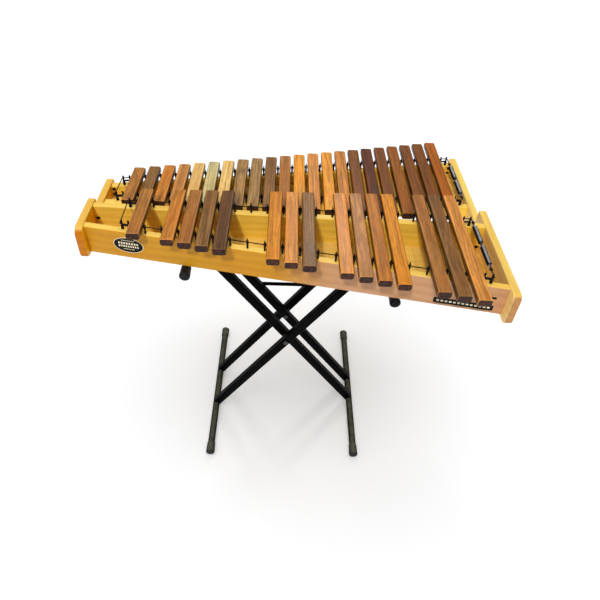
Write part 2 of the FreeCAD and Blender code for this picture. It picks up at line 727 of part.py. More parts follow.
def make_pivot_bolt(side):
    """Bolt through an outer and an inner leg, with a washer between them."""
    outer_face = STAND_Y + side * (OUTER_LEG_Y + LEG_DEPTH / 2.0)
    inner_face = STAND_Y + side * (INNER_LEG_Y - LEG_DEPTH / 2.0)
    outward = Y_AXIS * side
    head_start = Vec(STAND_X, outer_face, PIVOT_Z)
    nut_start = Vec(STAND_X, inner_face, PIVOT_Z) - outward * SLIDING_GAP
    nut_end = nut_start - outward * BOLT_HEAD_HEIGHT
    head = cylinder(BOLT_HEAD_RADIUS, head_start, head_start + outward * BOLT_HEAD_HEIGHT)
    rim = []
    for edge in head.Edges:
        if abs(edge.CenterOfMass.y - outer_face - side * BOLT_HEAD_HEIGHT) < 0.01:
            rim.append(edge)
    head = head.makeFillet(BOLT_HEAD_ROUNDING, rim)
    shank = cylinder(BOLT_RADIUS, nut_end, head_start)
    nut = cylinder(NUT_RADIUS, nut_end, nut_start)
    washer_start = Vec(STAND_X, STAND_Y + side * (INNER_LEG_Y + LEG_DEPTH / 2.0), PIVOT_Z)
    washer_end = Vec(STAND_X, STAND_Y + side * (OUTER_LEG_Y - LEG_DEPTH / 2.0), PIVOT_Z)
    washer = tube(WASHER_RADIUS, WASHER_RADIUS - BOLT_RADIUS,
                  washer_start + outward * SLIDING_GAP, washer_end)
    return [head.fuse(shank).fuse(nut), washer]


def make_stay_pin():
    """Pin on the far outer leg that runs in the stay's slot."""
    x = STAND_X + STAY_HALF_SPAN
    leg_face = STAND_Y + OUTER_LEG_Y - LEG_DEPTH / 2.0
    pin_end = STAY_Y - STAY_THICKNESS / 2.0 + STAY_COVER + SLIDING_GAP
    return cylinder(STAY_PIN_RADIUS, Vec(x, pin_end, STAY_LEVEL), Vec(x, leg_face, STAY_LEVEL))


def flat_link(start_x, end_x, half_height, y_low, y_high):
    """Flat strip along x with round ends, between two planes of y."""
    low = Vec(start_x, y_low, STAY_LEVEL)
    high = Vec(start_x, y_high, STAY_LEVEL)
    shift = X_AXIS * (end_x - start_x)
    strip = Part.makeBox(end_x - start_x, y_high - y_low, 2.0 * half_height,
                         low - Z_AXIS * half_height)
    strip = strip.fuse(cylinder(half_height, low, high))
    return strip.fuse(cylinder(half_height, low + shift, high + shift))


def make_stay():
    """Slotted stay bar on the far inner leg, the strip that covers it, and its rivet."""
    rivet_x = STAND_X - STAY_HALF_SPAN
    pin_x = STAND_X + STAY_HALF_SPAN
    near_face = STAY_Y - STAY_THICKNESS / 2.0
    cover_face = near_face + STAY_COVER
    far_face = STAY_Y + STAY_THICKNESS / 2.0
    lean = math.atan(LEG_SLOPE)
    reach = math.hypot(STAY_HALF_SPAN, STAY_LEVEL - PIVOT_Z)
    folded_gap = 2.0 * reach * math.sin(lean - math.radians(FOLD_ANGLE))
    slot_start = rivet_x + folded_gap - STAY_END_MARGIN
    slot_half = STAY_PIN_RADIUS + STAY_SLOT_CLEARANCE
    bar_end = pin_x + STAY_END_MARGIN
    cover = flat_link(rivet_x, bar_end, STAY_HEIGHT / 2.0, near_face, cover_face)
    bar = flat_link(rivet_x, bar_end, STAY_HEIGHT / 2.0, cover_face, far_face)
    bar = bar.cut(flat_link(slot_start, pin_x, slot_half, cover_face, far_face))

    leg_face = STAND_Y + INNER_LEG_Y - LEG_DEPTH / 2.0 - SLIDING_GAP
    rivet_start = Vec(rivet_x, leg_face - STAY_RIVET_NEAR_HEAD, STAY_LEVEL)
    rivet_end = Vec(rivet_x, far_face, STAY_LEVEL)
    near_head = cylinder(STAY_RIVET_HEAD_RADIUS, rivet_start,
                         rivet_start + Y_AXIS * STAY_RIVET_NEAR_HEAD)
    far_head = cylinder(STAY_RIVET_HEAD_RADIUS, rivet_end,
                        rivet_end + Y_AXIS * STAY_RIVET_FAR_HEAD)
    shank = cylinder(BOLT_RADIUS, rivet_start, rivet_end)
    return [cover.cut(shank), bar.cut(shank), shank.fuse(near_head).fuse(far_head)]


def make_outer_frame():
    foot_x = STAND_X - FOOT_HALF_SPAN
    arm_x = STAND_X + ARM_HALF_SPAN
    legs = []
    for side in (-1.0, 1.0):
        y = STAND_Y + side * OUTER_LEG_Y
        legs.append(make_leg(foot_x, arm_x, y, BOLT_RADIUS, RUNNING_FIT))
    save("outer_legs", legs)
    save("outer_foot", [make_crossbar(foot_x, FOOT_Z, FOOT_HALF_LENGTH)])
    save("outer_foot_caps", make_caps(foot_x, FOOT_Z, FOOT_HALF_LENGTH, True))
    save("outer_arm", [make_crossbar(arm_x, ARM_Z, RIGHT_ARM_HALF_LENGTH)])
    save("outer_arm_caps", make_caps(arm_x, ARM_Z, RIGHT_ARM_HALF_LENGTH, False))
    save("pivot_bolts", make_pivot_bolt(-1.0) + make_pivot_bolt(1.0) + [make_stay_pin()])


def make_inner_frame():
    foot_x = STAND_X + FOOT_HALF_SPAN
    arm_x = STAND_X - ARM_HALF_SPAN
    legs = []
    for side in (-1.0, 1.0):
        y = STAND_Y + side * INNER_LEG_Y
        leg = make_leg(foot_x, arm_x, y, BOLT_RADIUS + RUNNING_FIT, 0.0)
        if side > 0:
            rivet = Vec(STAND_X - STAY_HALF_SPAN, y, STAY_LEVEL)
            reach = Y_AXIS * LEG_DEPTH
            leg = leg.cut(cylinder(BOLT_RADIUS + RUNNING_FIT, rivet - reach, rivet + reach))
        legs.append(leg)
    save("inner_legs", legs)
    save("inner_foot", [make_crossbar(foot_x, FOOT_Z, FOOT_HALF_LENGTH)])
    save("inner_arm", [make_crossbar(arm_x, ARM_Z, LEFT_ARM_HALF_LENGTH)])
    caps = make_caps(foot_x, FOOT_Z, FOOT_HALF_LENGTH, True)
    caps += make_caps(arm_x, ARM_Z, LEFT_ARM_HALF_LENGTH, False)
    save("inner_caps", caps)
    save("stay_bar", make_stay())


def main():
    os.makedirs("parts", exist_ok=True)
    make_bars()
    make_frame()
    make_posts()
    make_cords()
    make_outer_frame()
    make_inner_frame()
    shift = TO_LIBRARY_FRAME
    print("foot axis", STAND_X - FOOT_HALF_SPAN + shift.x, FOOT_Z + shift.z)
    print("arm axis", STAND_X + ARM_HALF_SPAN + shift.x, ARM_Z + shift.z)
    print("pivot", STAND_X + shift.x, PIVOT_Z + shift.z)
    print("stay rivet", STAND_X - STAY_HALF_SPAN + shift.x, STAY_LEVEL + shift.z)


main()
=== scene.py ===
"""Looks of a three-octave practice xylophone on its folding double-X stand.

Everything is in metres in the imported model's frame: x runs towards the long bars, y towards
the player's side, and z = 0 is the floor. The CAD nodes keep their shapes and get procedural
materials. The wound springs, the cord's knots and the three label plates are built here.
"""
import math

import bmesh
import bpy
import numpy as np
from mathutils import Matrix, Vector


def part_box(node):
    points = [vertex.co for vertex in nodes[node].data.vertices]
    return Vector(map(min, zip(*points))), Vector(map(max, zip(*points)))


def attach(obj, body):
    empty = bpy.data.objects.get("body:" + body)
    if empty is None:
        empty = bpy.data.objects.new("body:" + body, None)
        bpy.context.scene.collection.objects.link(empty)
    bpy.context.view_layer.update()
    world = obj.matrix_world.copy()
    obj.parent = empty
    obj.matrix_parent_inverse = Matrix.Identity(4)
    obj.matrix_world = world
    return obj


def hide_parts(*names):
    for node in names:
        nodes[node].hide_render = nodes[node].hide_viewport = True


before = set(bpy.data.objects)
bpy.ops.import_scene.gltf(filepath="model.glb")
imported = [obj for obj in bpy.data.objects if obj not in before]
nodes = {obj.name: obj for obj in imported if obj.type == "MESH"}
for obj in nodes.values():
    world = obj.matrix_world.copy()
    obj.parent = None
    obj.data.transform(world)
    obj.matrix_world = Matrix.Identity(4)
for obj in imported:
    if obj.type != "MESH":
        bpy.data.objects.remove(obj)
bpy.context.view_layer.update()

Z_AXIS = Vector((0, 0, 1))
WHITE = (1.0, 1.0, 1.0, 1.0)

# --- camera -----------------------------------------------------------------------------
CAMERA_PLACE = (-0.0138, -1.3812, 1.9192)
CAMERA_YAW = math.radians(2.34)
CAMERA_PITCH = math.radians(41.52)
CAMERA_ROLL = math.radians(3.22)
CAMERA_SENSOR = 36.0
CAMERA_LENS = 33.155
CAMERA_SHIFT_Y = -0.063

# --- springs and knots ------------------------------------------------------------------
CORD_RADIUS = 0.0015
SPRING_RADIUS = 0.0075
WIRE_RADIUS = 0.001
SPRING_LOOP_RADIUS = 0.0045
SPRING_BODY = 0.075
LOOP_CLEARANCE = 0.0001
COIL_PITCH = 0.00206
COIL_STEPS = 22
# End turns are narrower: their first share of the coil's radius, and the gain per turn.
COIL_FIRST_SIZE = 0.35
COIL_SWELL_PER_TURN = 0.45
KNOT_EYE_RADIUS = 0.7 * SPRING_LOOP_RADIUS
KNOT_TURNS = 3
KNOT_TURN_RADIUS = 1.8 * CORD_RADIUS
KNOT_TURN_PITCH = 1.9 * CORD_RADIUS
KNOT_TAIL = 2.0 * CORD_RADIUS
KNOT_CORD_RADIUS = 0.8 * CORD_RADIUS

# --- labels -----------------------------------------------------------------------------
RAIL_THICKNESS = 0.022
SLOPE_PASSES = 8
BLACK_FILM = 0
PALE_FILM = 1
# Heights are above the rail's face; LABEL_SINK is the depth of a plate's back in the rail.
LABEL_THICKNESS = 0.0006
LABEL_SINK = 0.0001
LABEL_EDGE = 0.7 * LABEL_THICKNESS
LABEL_FIELD = 0.9 * LABEL_THICKNESS
DASH_TOP = 1.25 * LABEL_THICKNESS
LABEL_BEVEL = 0.0003
LABEL_RING = 0.0018
# Sizes are across and up; places are along the rail's face and up from its low edge.
OVAL_LABEL = (0.090, 0.054)
OVAL_PLACE = (0.1265, 0.0461)
STRIP_LABEL = (0.159, 0.020)
STRIP_PLACE = (1.072, 0.0175)
TAB_LABEL = (0.050, 0.007)
TAB_PLACE = (1.127, 0.0545)
# Outlines run from an ellipse at power 2 to a rectangle at a large power.
OVAL_POWER = 2.0
DASH_POWER = 5.0
STRIP_POWER = 14.0
OUTLINE_STEPS = 96
DASH_STEPS = 24
DASH_SHARE = 0.66
DASH_BEVEL = 0.0001
# Rows of plain bars: height above the label's middle, width, bar height and count.
OVAL_ROWS = (
    (0.0165, 0.040, 0.0024, 9),
    (0.0062, 0.062, 0.0072, 8),
    (-0.0042, 0.062, 0.0066, 9),
    (-0.0145, 0.034, 0.0024, 7),
)
STRIP_ROWS = ((0.0, STRIP_LABEL[0] * 0.92, STRIP_LABEL[1] * 0.3, 13),)

# --- floor and lights -------------------------------------------------------------------
FLOOR_REACH = 40.0
FLOOR_CORNERS = ((-1, -1), (1, -1), (1, 1), (-1, 1))
FLOOR_TONES = ((0.90, 0.925, 0.96, 1.0), (0.87, 0.895, 0.93, 1.0))
FLOOR_GLOW = 0.27
WORLD_STRENGTH = 0.32
BACKDROP_STRENGTH = 1.1
# Heading, strength and width in degrees of each sun.
SKYLIGHT = ((0.0, 0.05, -1.0), 1.2, 50.0)
CEILING = ((0.12, 0.0, -1.0), 0.48, 80.0)
LAMP = ((0.29, 0.75, -1.0), 1.8, 6.0)
LAMP_COLOUR = (1.0, 0.98, 0.95)
WINDOW_PLACE = (0.42, 2.6, 3.3)
WINDOW_TARGET = (0.05, -0.2, 0.95)
WINDOW_SIZE = (0.4, 0.5)
WINDOW_POWER = 15.0

# --- tones ------------------------------------------------------------------------------
# Wood tones by name, in sRGB from 0 to 255.
TONES = {
    "straw": (193, 188, 153),
    "honey": (214, 178, 120),
    "orange": (219, 150, 50),
    "amber": (199, 129, 36),
    "apricot": (203, 138, 72),
    "caramel": (190, 136, 82),
    "copper": (190, 124, 56),
    "ginger": (178, 112, 42),
    "tan": (176, 124, 78),
    "cinnamon": (168, 114, 60),
    "sienna": (156, 106, 58),
    "russet": (158, 88, 14),
    "fawn": (160, 126, 86),
    "walnut": (132, 96, 60),
    "bronze": (138, 82, 20),
    "chestnut": (119, 70, 24),
    "umber": (106, 74, 48),
    "cocoa": (96, 46, 8),
}
# The pale honey and straw of natural bars five to seven are partly the wood's own tone and partly
# a painted sheen of light reflected off their tops.
NATURAL_TONES = (
    "cinnamon", "walnut", "copper", "caramel", "honey", "straw", "honey", "fawn",
    "fawn", "walnut", "cinnamon", "orange", "apricot", "orange", "copper", "chestnut",
    "cocoa", "chestnut", "bronze", "chestnut", "chestnut", "russet",
)
ACCIDENTAL_TONES = (
    "cinnamon", "copper", "sienna", "walnut", "umber", "amber", "apricot", "walnut",
    "apricot", "tan", "ginger", "amber", "sienna", "walnut", "apricot",
)
STREAKY_TONES = ("walnut", "umber", "fawn", "straw", "cocoa")
MANY_STREAKS = 1.0
FEW_STREAKS = 0.25
# Seed of each row's first bar; it steps by one from bar to bar.
NATURAL_SEED = 1.0
ACCIDENTAL_SEED = 31.5
GOLDEN = (208, 149, 30)
# Tones of faces turned up: painted light from above on the tops.
GOLDEN_TOP = (242, 204, 98)
LEFT_TOP = (228, 183, 84)
RIGHT_TOP = (238, 205, 106)
GOLDEN_END = (200, 117, 2)
# Inner and rear rails: a brighter copy of the front rail's wood, painted light in the shaded
# chamber.
GOLDEN_INNER = (255, 214, 84)
# Painted bounce light on the left board's inner face, which the lamp does not reach.
ORANGE_INNER = (255, 184, 6)
PALE_INNER = (255, 222, 146)
# Painted light: a pinkish tint of the light on the right of the front rail and on the right
# board's front end.
PINK_TAN = (204, 156, 116)
PINK_END = (190, 138, 88)
PANEL_YELLOW = (232, 190, 92)
LABEL_BLACK = (7, 6, 7)
LABEL_PALE = (240, 226, 190)

# How little a pattern changes along the grain, for boards with the grain along x or y.
LOG_STRETCH = {"X": (0.03, 1.0, 1.0), "Y": (1.0, 0.03, 1.0)}

# Linear colours.
# End faces of the bars: partly the end grain's own dark stain, partly painted shade.
DARK_END = (0.004, 0.001, 0.0005, 1.0)
RED_END = (0.066, 0.010, 0.001, 1.0)
RING_SHADE = (0.80, 0.72, 0.62, 1.0)
CLOUD_SHADE = (0.93, 0.80, 0.58, 1.0)
FIBRE_SHADE = (0.82, 0.74, 0.62, 1.0)
COAT_BLACK = (0.0008, 0.0008, 0.0012, 1.0)
COAT_WORN = (0.0055, 0.0055, 0.005, 1.0)
# Pale olive grey on the feet's upper faces: partly dust, partly painted light from above.
FLOOR_DUST_AND_LIGHT = (0.074, 0.075, 0.053, 1.0)
RUBBER_BLACK = (0.002, 0.002, 0.003, 1.0)
RUBBER_SCUFF = (0.011, 0.011, 0.009, 1.0)
SATIN_BLACK = (0.003, 0.003, 0.003, 1.0)
SATIN_WORN = (0.012, 0.012, 0.013, 1.0)
CORD_BLACK = (0.003, 0.003, 0.003, 1.0)
CORD_CREST = (0.018, 0.017, 0.016, 1.0)


# --- materials --------------------------------------------------------------------------
def linear(tone):
    """Linear colour of an sRGB tone given in 0 to 255."""
    values = []
    for part in tone:
        share = part / 255.0
        if share > 0.04045:
            values.append(((share + 0.055) / 1.055) ** 2.4)
        else:
            values.append(share / 12.92)
    return (values[0], values[1], values[2], 1.0)


def scaled(colour, factor):
    """The colour made darker or lighter, still opaque."""
    return tuple(part * factor for part in colour[:3]) + (1.0,)


class Surface:
    """One procedural material: a Principled shader and the nodes that feed it."""

    def __init__(self, name, **fixed):
        self.material = bpy.data.materials.new(name)
        self.material.use_nodes = True
        self.tree = self.material.node_tree
        self.shader = self.tree.nodes["Principled BSDF"]
        for socket, value in fixed.items():
            self.shader.inputs[socket.replace("_", " ")].default_value = value
        self.coordinates = self.tree.nodes.new("ShaderNodeTexCoord")
        self.place = self.coordinates.outputs["Object"]

    def feed(self, socket, value):
        """Link a socket to another, or set its constant."""
        if isinstance(value, bpy.types.NodeSocket):
            self.tree.links.new(value, socket)
        else:
            socket.default_value = value

    def mapped(self, shift=(0, 0, 0), turn=(0, 0, 0), scale=(1, 1, 1), source=None):
        node = self.tree.nodes.new("ShaderNodeMapping")
        self.feed(node.inputs["Vector"], source or self.place)
        node.inputs["Location"].default_value = shift
        node.inputs["Rotation"].default_value = turn
        node.inputs["Scale"].default_value = scale
        return node.outputs["Vector"]

    def noise(self, vector, scale, detail=2.0, roughness=0.5):
        node = self.tree.nodes.new("ShaderNodeTexNoise")
        self.feed(node.inputs["Vector"], vector)
        node.inputs["Scale"].default_value = scale
        node.inputs["Detail"].default_value = detail
        node.inputs["Roughness"].default_value = roughness
        return node.outputs["Fac"]

    def wave(self, vector, kind, axis, scale, distortion=0.0, detail_scale=1.0):
        node = self.tree.nodes.new("ShaderNodeTexWave")
        node.wave_type = kind
        if kind == "RINGS":
            node.rings_direction = axis
        else:
            node.bands_direction = axis
        self.feed(node.inputs["Vector"], vector)
        node.inputs["Scale"].default_value = scale
        node.inputs["Distortion"].default_value = distortion
        node.inputs["Detail"].default_value = 2.0
        node.inputs["Detail Scale"].default_value = detail_scale
        return node.outputs["Fac"]

    def remap(self, value, low, high, to_low=0.0, to_high=1.0):
        """Smooth step from to_low at low to to_high at high; low may be the larger."""
        node = self.tree.nodes.new("ShaderNodeMapRange")
        node.interpolation_type = "SMOOTHSTEP"
        self.feed(node.inputs["Value"], value)
        node.inputs["From Min"].default_value = low
        node.inputs["From Max"].default_value = high
        node.inputs["To Min"].default_value = to_low
        node.inputs["To Max"].default_value = to_high
        return node.outputs["Result"]

    def combine(self, operation, a, b=0.0):
        node = self.tree.nodes.new("ShaderNodeMath")
        node.operation = operation
        self.feed(node.inputs[0], a)
        self.feed(node.inputs[1], b)
        return node.outputs["Value"]

    def mix(self, share, a, b, blend="MIX"):
        node = self.tree.nodes.new("ShaderNodeMix")
        node.data_type = "RGBA"
        node.blend_type = blend
        self.feed(node.inputs["Factor"], share)
        self.feed(node.inputs["A"], a)
        self.feed(node.inputs["B"], b)
        return node.outputs["Result"]

    def component(self, vector, axis):
        node = self.tree.nodes.new("ShaderNodeSeparateXYZ")
        self.feed(node.inputs["Vector"], vector)
        return node.outputs[axis]

    def normal(self, axis):
        """One component of the surface's normal, from -1 to 1."""
        return self.component(self.coordinates.outputs["Normal"], axis)

    def facing(self, axis):
        """1 where the surface faces along one axis of the object, 0 where it faces across."""
        return self.remap(self.combine("ABSOLUTE", self.normal(axis)), 0.55, 0.85)

    def rim(self, axis):
        """1 on the rounding between the top and the faces across one axis."""
        lean = self.combine("ABSOLUTE", self.normal(axis))
        return self.combine("MULTIPLY", self.remap(lean, 0.1, 0.3), self.remap(lean, 0.8, 0.5))

    def bump(self, height, distance):
        node = self.tree.nodes.new("ShaderNodeBump")
        self.feed(node.inputs["Height"], height)
        node.inputs["Distance"].default_value = distance
        self.feed(self.shader.inputs["Normal"], node.outputs["Normal"])

    def finish(self, colour, roughness):
        """The finished material, with its colour and roughness connected."""
        self.feed(self.shader.inputs["Base Color"], colour)
        self.feed(self.shader.inputs["Roughness"], roughness)
        return self.material


def log_grain(wood, here, axis, sway_scale, sway, ring_scale):
    """Growth rings of a log that runs along one axis, and the swaying place they follow."""
    slow = tuple(max(share, 0.25) for share in LOG_STRETCH[axis])
    shift = wood.noise(wood.mapped(source=here, scale=slow), sway_scale)
    bent = wood.tree.nodes.new("ShaderNodeVectorMath")
    wood.feed(bent.inputs[0], here)
    wood.feed(bent.inputs[1], wood.combine("MULTIPLY", shift, sway))
    bent = bent.outputs["Vector"]
    stretched = wood.mapped(source=bent, scale=LOG_STRETCH[axis])
    return bent, wood.wave(stretched, "RINGS", axis, ring_scale, 1.6, 1.5)


def rosewood(name, tone, seed, streaks):
    """Lacquered rosewood with its grain along y. The seed moves the bar through the log;
    streaks, from 0 to 1, says how strongly dark veins show."""
    wood = Surface(name, Coat_Weight=0.06, Coat_Roughness=0.2, Specular_IOR_Level=0.2)
    red, green, blue, _ = linear(tone)
    base = (red * 0.96, green * 0.92, blue * 0.72, 1.0)
    shift = (0.9 * math.sin(seed * 2.4), 0.37 * seed, 0.7 * math.cos(seed * 1.7))
    here = wood.mapped(shift=shift)
    bent, rings = log_grain(wood, here, "Y", sway_scale=9.0, sway=0.04, ring_scale=46.0)
    figure = wood.noise(wood.mapped(source=bent, scale=(1.0, 0.04, 1.0)), 95.0, 4.0, 0.62)
    fibres = wood.noise(wood.mapped(source=here, scale=(1.0, 0.02, 1.0)), 420.0, 3.0, 0.65)
    pores = wood.noise(wood.mapped(source=here, scale=(1.0, 0.05, 1.0)), 900.0, 1.0)
    pores = wood.remap(pores, 0.62, 0.74)

    dark = scaled(base, 0.62 - 0.2 * streaks)
    colour = wood.mix(wood.remap(figure, 0.38, 0.62), dark, scaled(base, 1.3))
    veins = wood.combine("MULTIPLY", wood.remap(rings, 0.6, 0.95), 0.3 + 0.45 * streaks)
    colour = wood.mix(veins, colour, scaled(base, 0.3))
    colour = wood.mix(wood.remap(fibres, 0.3, 0.7, 0.0, 0.4), colour, scaled(base, 1.4))
    colour = rosewood_flecks(wood, colour, base, here)
    colour = wood.mix(wood.combine("MULTIPLY", pores, 0.6), colour, scaled(base, 0.2))
    colour = rosewood_edges(wood, colour, base, here)

    wood.bump(wood.combine("ADD", fibres, wood.combine("MULTIPLY", pores, -0.7)), 0.0002)
    return wood.finish(colour, wood.remap(figure, 0.3, 0.7, 0.3, 0.42))


def rosewood_flecks(wood, colour, base, here):
    """Short dark and light flecks, and warmer clouds."""
    flecks = wood.noise(wood.mapped(source=here, scale=(1.0, 0.07, 1.0)), 330.0, 2.0, 0.6)
    cloud = wood.noise(here, 7.0, 2.0)
    warm = (base[0] * 1.1, base[1] * 0.84, base[2] * 0.6, 1.0)
    colour = wood.mix(wood.remap(flecks, 0.5, 0.66, 0.0, 0.42), colour, scaled(base, 0.4))
    colour = wood.mix(wood.remap(flecks, 0.46, 0.3, 0.0, 0.3), colour, scaled(base, 1.5))
    return wood.mix(wood.remap(cloud, 0.4, 0.75, 0.0, 0.5), colour, warm)


def rosewood_edges(wood, colour, base, here):
    """Painted shade on the sides; nearly black mottled end grain, partly the end grain's own stain
    and partly painted shade; and painted highlights along the roundings.
    """
    # Painted shade: faces turned across x are darkened nearly to black, for the shade between the
    # bars.
    side = wood.combine("MULTIPLY", wood.facing("X"), 0.75)
    colour = wood.mix(side, colour, scaled(base, 0.12))
    # End faces darkened nearly to black with a red mottle: partly the end grain's own darker
    # stain, partly painted shade on faces that get little light.
    mottle = wood.noise(wood.mapped(source=here, scale=(1.0, 0.5, 1.0)), 130.0, 3.0, 0.6)
    end_stain_and_shade = wood.mix(wood.remap(mottle, 0.45, 0.62), DARK_END, RED_END)
    colour = wood.mix(wood.combine("MULTIPLY", wood.facing("Y"), 0.96), colour, end_stain_and_shade)
    # Painted highlights: the roundings along the ends and along the sides are made paler, for the
    # light they catch.
    colour = wood.mix(wood.combine("MULTIPLY", wood.rim("Y"), 0.65), colour, scaled(base, 2.0))
    return wood.mix(wood.combine("MULTIPLY", wood.rim("X"), 0.35), colour, scaled(base, 1.7))


def board_tone(wood, tone, top_light_tone, grain_axis, tones):
    """Tone of each face of a board, before its grain."""
    colour = linear(tone)
    # Painted light: the pinkish tint of the light takes over towards the right.
    if "right_tone" in tones:
        across = wood.remap(wood.component(wood.place, "X"), -0.06, 0.14)
        colour = wood.mix(across, colour, linear(tones["right_tone"]))
    # Painted bounce light on faces turned to the right.
    if "inner_tone" in tones:
        inner = wood.remap(wood.normal("X"), 0.5, 0.85)
        colour = wood.mix(inner, colour, linear(tones["inner_tone"]))
    # Painted light: faces turned up take a tone of their own, for the light from above.
    upward = wood.remap(wood.normal("Z"), 0.5, 0.85)
    colour = wood.mix(upward, colour, linear(top_light_tone))
    end_tone = linear(GOLDEN_END)
    # Painted light: the same pinkish tint on the end nearest the front.
    if "front_tone" in tones:
        front = wood.remap(wood.component(wood.place, "Y"), -0.27, -0.31)
        end_tone = wood.mix(front, end_tone, linear(tones["front_tone"]))
    return wood.mix(wood.combine("MULTIPLY", wood.facing(grain_axis), 0.9), colour, end_tone)


def frame_wood(name, tone, top_light_tone, grain_axis, **tones):
    """Clear-lacquered pale softwood; end grain is darker and more orange.

    right_tone, a painted pinkish tint of the light, takes over on the right half; inner_tone,
    painted bounce light, on faces turned to the right; and front_tone, the same painted tint, on
    the end nearest the front."""
    wood = Surface(name, Coat_Weight=0.06, Coat_Roughness=0.22, Specular_IOR_Level=0.16)
    here = wood.mapped(shift=(0.31, 0.17, 0.4))
    bent, rings = log_grain(wood, here, grain_axis, sway_scale=6.0, sway=0.07, ring_scale=11.0)
    fibres = wood.mapped(source=here, scale=LOG_STRETCH[grain_axis])
    fibres = wood.noise(fibres, 330.0, 3.0, 0.6)
    cloud = wood.noise(wood.mapped(source=bent, scale=(0.5, 0.5, 0.5)), 9.0, 3.0)

    colour = board_tone(wood, tone, top_light_tone, grain_axis, tones)
    for share, shade in ((wood.remap(rings, 0.2, 0.95, 0.0, 0.35), RING_SHADE),
                         (wood.remap(cloud, 0.4, 0.75, 0.0, 0.7), CLOUD_SHADE),
                         (wood.remap(fibres, 0.35, 0.7, 0.0, 0.45), FIBRE_SHADE)):
        colour = wood.mix(1.0, colour, wood.mix(share, WHITE, shade), "MULTIPLY")
    wood.bump(fibres, 0.00012)
    return wood.finish(colour, wood.remap(cloud, 0.3, 0.7, 0.34, 0.46))


def coated_tube(name, dust_and_light=None):
    """Black powder coat: fine orange peel, worn in patches; dust is the pale grey on faces turned
    up near the floor, partly dust and partly painted light from above.
    """
    steel = Surface(name, Specular_IOR_Level=0.025)
    peel = steel.noise(steel.place, 900.0, 2.0)
    worn = steel.noise(steel.place, 14.0, 4.0)
    colour = steel.mix(steel.remap(worn, 0.45, 0.8), COAT_BLACK, COAT_WORN)
    if dust_and_light:
        colour = dusted_and_lit(steel, colour, dust_and_light)
    steel.bump(peel, 0.0002)
    return steel.finish(colour, steel.remap(worn, 0.3, 0.7, 0.32, 0.48))


def dusted_and_lit(surface, colour, dust_and_light):
    """Pale grey on faces turned up near the floor, thinner in patches: partly dust, partly painted
    light from above.
    """
    patches = surface.noise(surface.place, 45.0, 4.0, 0.6)
    lying = surface.remap(surface.normal("Z"), 0.55, 0.98, 0.06, 1.0)
    share = surface.combine("MULTIPLY", lying, surface.remap(patches, 0.3, 0.7, 0.55, 1.0))
    low = surface.remap(surface.component(surface.place, "Z"), 0.3, 0.1)
    return surface.mix(surface.combine("MULTIPLY", share, low), colour, dust_and_light)


def rubber(name, shine, roughness, dust_and_light=None):
    """Black rubber, scuffed grey in places; dust is the pale grey on faces turned up near the
    floor, partly dust and partly painted light from above.
    """
    cap = Surface(name, Specular_IOR_Level=shine)
    scuffs = cap.noise(cap.place, 60.0, 5.0, 0.7)
    fine = cap.noise(cap.place, 1500.0, 2.0)
    colour = cap.mix(cap.remap(scuffs, 0.5, 0.8), RUBBER_BLACK, RUBBER_SCUFF)
    if dust_and_light:
        colour = dusted_and_lit(cap, colour, dust_and_light)
    cap.bump(fine, 0.00015)
    return cap.finish(colour, cap.remap(scuffs, 0.3, 0.7, roughness - 0.1, roughness + 0.1))


def satin_black(name):
    """Satin black of the posts' plastic sleeves and of the oxidised screws."""
    satin = Surface(name, Specular_IOR_Level=0.12)
    worn = satin.noise(satin.place, 160.0, 3.0)
    colour = satin.mix(satin.remap(worn, 0.55, 0.8), SATIN_BLACK, SATIN_WORN)
    satin.bump(worn, 0.0002)
    return satin.finish(colour, satin.remap(worn, 0.3, 0.7, 0.35, 0.5))


def braided_cord(name):
    """Black braided cord: two sets of slanting strands across the line."""
    cord = Surface(name, Specular_IOR_Level=0.1)
    one = cord.wave(cord.mapped(turn=(0.6, 0.5, 0.7)), "BANDS", "X", 420.0)
    two = cord.wave(cord.mapped(turn=(-0.6, -0.5, -0.9)), "BANDS", "X", 420.0)
    braid = cord.combine("MAXIMUM", one, two)
    colour = cord.mix(braid, CORD_BLACK, CORD_CREST)
    cord.bump(braid, 0.0003)
    return cord.finish(colour, cord.remap(braid, 0.0, 1.0, 0.8, 0.6))


def plated_steel(name, low, high, roughness, painted_highlight=None):
    """Dark plated steel with fine drawn lines; low is the brightness of the tarnish and
    high of clean plating, and crest, if given, that of a highlight painted on faces turned up."""
    steel = Surface(name, Metallic=0.6, Specular_IOR_Level=0.3)
    tarnish = steel.noise(steel.place, 90.0, 4.0)
    drawn = steel.noise(steel.mapped(scale=(1, 1, 14)), 500.0, 2.0)
    share = steel.remap(tarnish, 0.3, 0.75)
    colour = steel.mix(share, (high, high, high, 1.0), (low, low, low, 1.0))
    if painted_highlight:
        # Painted highlight: faces turned up are made bright, for the lamp's glint along the
        # spring.
        upward = steel.remap(steel.normal("Z"), 0.72, 0.97)
        colour = steel.mix(upward, colour, (painted_highlight, painted_highlight, painted_highlight * 1.04, 1.0))
    steel.bump(drawn, 0.00005)
    return steel.finish(colour, steel.remap(tarnish, 0.3, 0.7, roughness - 0.06, roughness + 0.08))


def printed_film(name, tone):
    """Printed label film, slightly scuffed."""
    film = Surface(name, Specular_IOR_Level=0.12)
    scuffs = film.noise(film.place, 220.0, 4.0, 0.7)
    base = linear(tone)
    colour = film.mix(film.remap(scuffs, 0.5, 0.75), base, scaled(base, 0.8))
    film.bump(scuffs, 0.00005)
    return film.finish(colour, film.remap(scuffs, 0.3, 0.7, 0.3, 0.5))


def paint(names, material):
    """Give CAD nodes a material in place of their own."""
    for name in names:
        nodes[name].data.materials[0] = material


